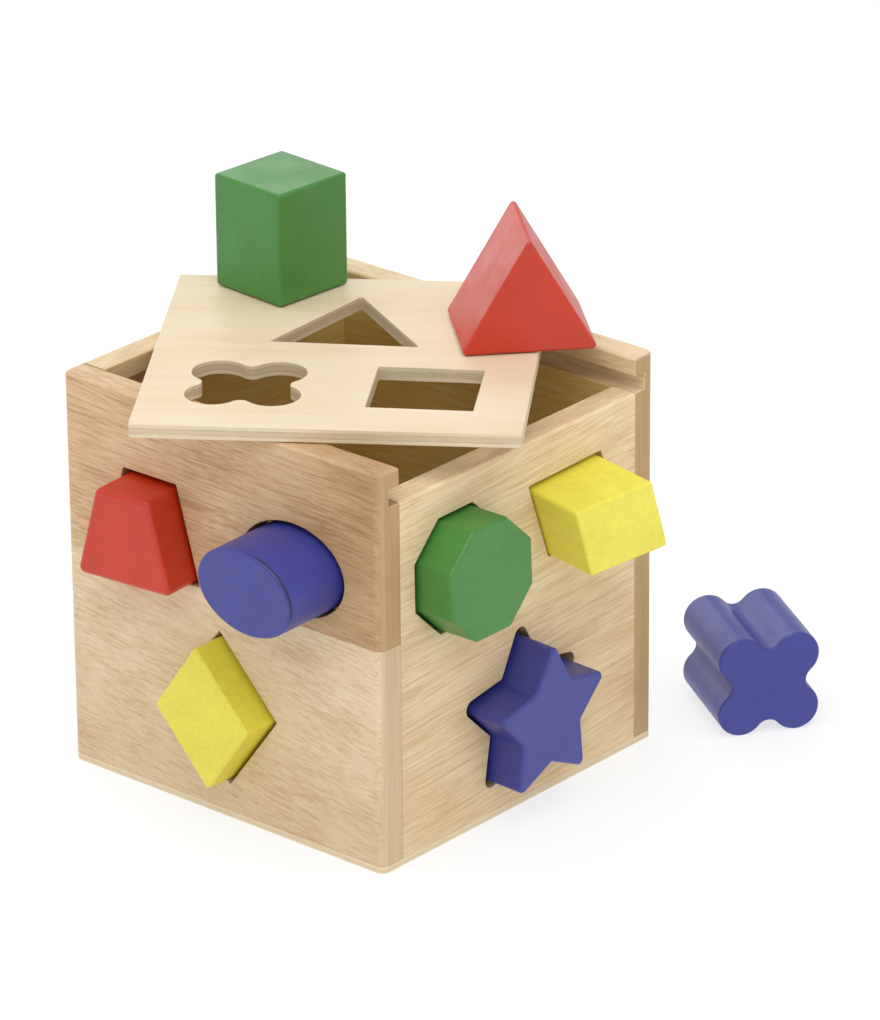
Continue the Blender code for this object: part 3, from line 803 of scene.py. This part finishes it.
def make_lid():
    cutters = []
    for outline, (across, back), turn in LID_HOLES:
        at = LID @ Matrix.Translation((across * MM, back * MM, 0))
        at = at @ Matrix.Rotation(math.radians(turn), 4, "Z")
        cutters.append(routed_cutter(outline, LID_THICKNESS, LID_HOLE_RIM, at))
    sheet = rounded_prism(rectangle(LID_WIDTH, LID_DEPTH, LID_CORNER), LID_THICKNESS, LID_EDGE, steps=4)
    add_piece("lid_sheet", sheet, LID, "lid", "lid_panel", LID_PLY, cutters)


def add_block(shape, outline, colours, colour_name, matrix, number):
    rounding = SOFT_BLOCK_ROUND if shape == "trapezoid" else BLOCK_ROUND
    bm = rounded_prism(outline, BLOCK_LENGTH, rounding, steps=7, unevenness=PAINT_UNEVENNESS, seed=number)
    add_piece(f"{shape}_peg", bm, matrix, f"{shape}_block", f"{shape}_block",
              paint(shape, matrix, colours, number))


def make_blocks():
    for number, (shape, parked) in enumerate(PARKED.items(), 1):
        wall, _, place, out, lean, turn, _, outline, colours, colour_name = parked
        centre = Matrix.Translation((0, 0, out * MM - BLOCK_LENGTH / 2))
        add_block(shape, outline, colours, colour_name, leaning(place, lean, turn, wall) @ centre, number)
    floor = LID_TOP + SEAM
    upright = Matrix.Translation((*SQUARE_PLACE, floor + BLOCK_LENGTH / 2))
    add_block("square", SQUARE, GREEN, "green", upright @ Matrix.Rotation(SQUARE_YAW, 4, "Z"), 7)
    inradius = TRIANGLE_SIDE / (2 * math.sqrt(3))
    add_block("triangle", TRIANGLE, RED, "red", lying(TRIANGLE_PLACE, floor + inradius, TRIANGLE_YAW), 8)
    add_block("clover", CLOVER, BLUE, "blue", lying(CLOVER_PLACE, CLOVER_HALF, CLOVER_YAW), 9)


# ---------------------------------------------------------------- stage, light and camera

def make_floor():
    bm = bmesh.new()
    bmesh.ops.create_grid(bm, x_segments=8, y_segments=8, size=FLOOR_REACH)
    mesh = bpy.data.meshes.new("floor")
    bm.to_mesh(mesh)
    bm.free()
    g = Graph("floor_paper")
    tone = g.noise(g.place(), (0.01, 0.01, 0.01), 2.0)
    paper = g.ramp(tone, (0.3, (0.29, 0.29, 0.29, 1)), (0.7, (0.31, 0.31, 0.31, 1)))
    g.feed(g.shader.inputs["Base Color"], paper)
    g.shader.inputs["Roughness"].default_value = 0.9
    g.shader.inputs["Specular IOR Level"].default_value = 0.1
    # A little light of its own, as a light table has, keeps the paper white beside the object.
    g.shader.inputs["Emission Color"].default_value = (1.0, 1.0, 1.0, 1.0)
    g.shader.inputs["Emission Strength"].default_value = 0.71
    mesh.materials.append(g.material)
    floor = bpy.data.objects.new("floor", mesh)
    bpy.context.scene.collection.objects.link(floor)
    floor.location.z = -0.02 * MM


def outward(azimuth, elevation):
    """The direction from the object at these angles, in radians."""
    level = Vector((math.sin(azimuth), -math.cos(azimuth), 0)) * math.cos(elevation)
    return level + Vector((0, 0, math.sin(elevation)))


def add_area(name, azimuth, elevation, distance, size, power, colour):
    """A square soft box that faces the middle of the object."""
    away = outward(math.radians(azimuth), math.radians(elevation))
    lamp = bpy.data.lights.new(name, "AREA")
    lamp.shape = "SQUARE"
    lamp.size = size
    lamp.energy = power
    lamp.color = colour
    obj = bpy.data.objects.new(name, lamp)
    bpy.context.scene.collection.objects.link(obj)
    obj.location = LAMP_AIM + away * distance
    obj.rotation_mode = "QUATERNION"
    obj.rotation_quaternion = away.to_track_quat("Z", "Y")
    obj.visible_camera = False


def make_light():
    world = bpy.data.worlds.new("studio")
    bpy.context.scene.world = world
    world.use_nodes = True
    nodes, links = world.node_tree.nodes, world.node_tree.links
    background = nodes["Background"]
    direction = nodes.new("ShaderNodeSeparateXYZ")
    links.new(nodes.new("ShaderNodeTexCoord").outputs["Generated"], direction.inputs[0])
    # The studio is brightest at the level of the object.
    sky = nodes.new("ShaderNodeValToRGB")
    level, overhead = sky.color_ramp.elements
    level.position, level.color = 0.05, (0.93, 0.94, 0.95, 1)
    overhead.position, overhead.color = 0.6, (0.63, 0.635, 0.64, 1)
    links.new(direction.outputs["Z"], sky.inputs["Fac"])
    links.new(sky.outputs["Color"], background.inputs["Color"])
    for lamp in LAMPS:
        add_area(*lamp)
    bpy.context.scene.view_settings.view_transform = "Standard"
    bpy.context.scene.view_settings.look = "None"


def make_camera():
    azimuth, elevation, roll = map(math.radians, (CAMERA_AZIMUTH, CAMERA_ELEVATION, CAMERA_ROLL))
    back = outward(azimuth, elevation)
    level = Vector((math.cos(azimuth), math.sin(azimuth), 0))
    rise = back.cross(level)
    right = math.cos(roll) * level + math.sin(roll) * rise
    up = math.cos(roll) * rise - math.sin(roll) * level
    lens = bpy.data.cameras.new("camera")
    lens.sensor_width = 36.0
    lens.lens = CAMERA_LENS
    lens.clip_start, lens.clip_end = 0.01, 50.0
    camera = bpy.data.objects.new("camera", lens)
    bpy.context.scene.collection.objects.link(camera)
    place = Matrix((right, up, back)).transposed().to_4x4()
    place.translation = CAMERA_AIM + back * CAMERA_DISTANCE
    camera.matrix_world = place
    bpy.context.scene.camera = camera


make_box()
make_lid()
make_blocks()
make_floor()
make_light()
make_camera()
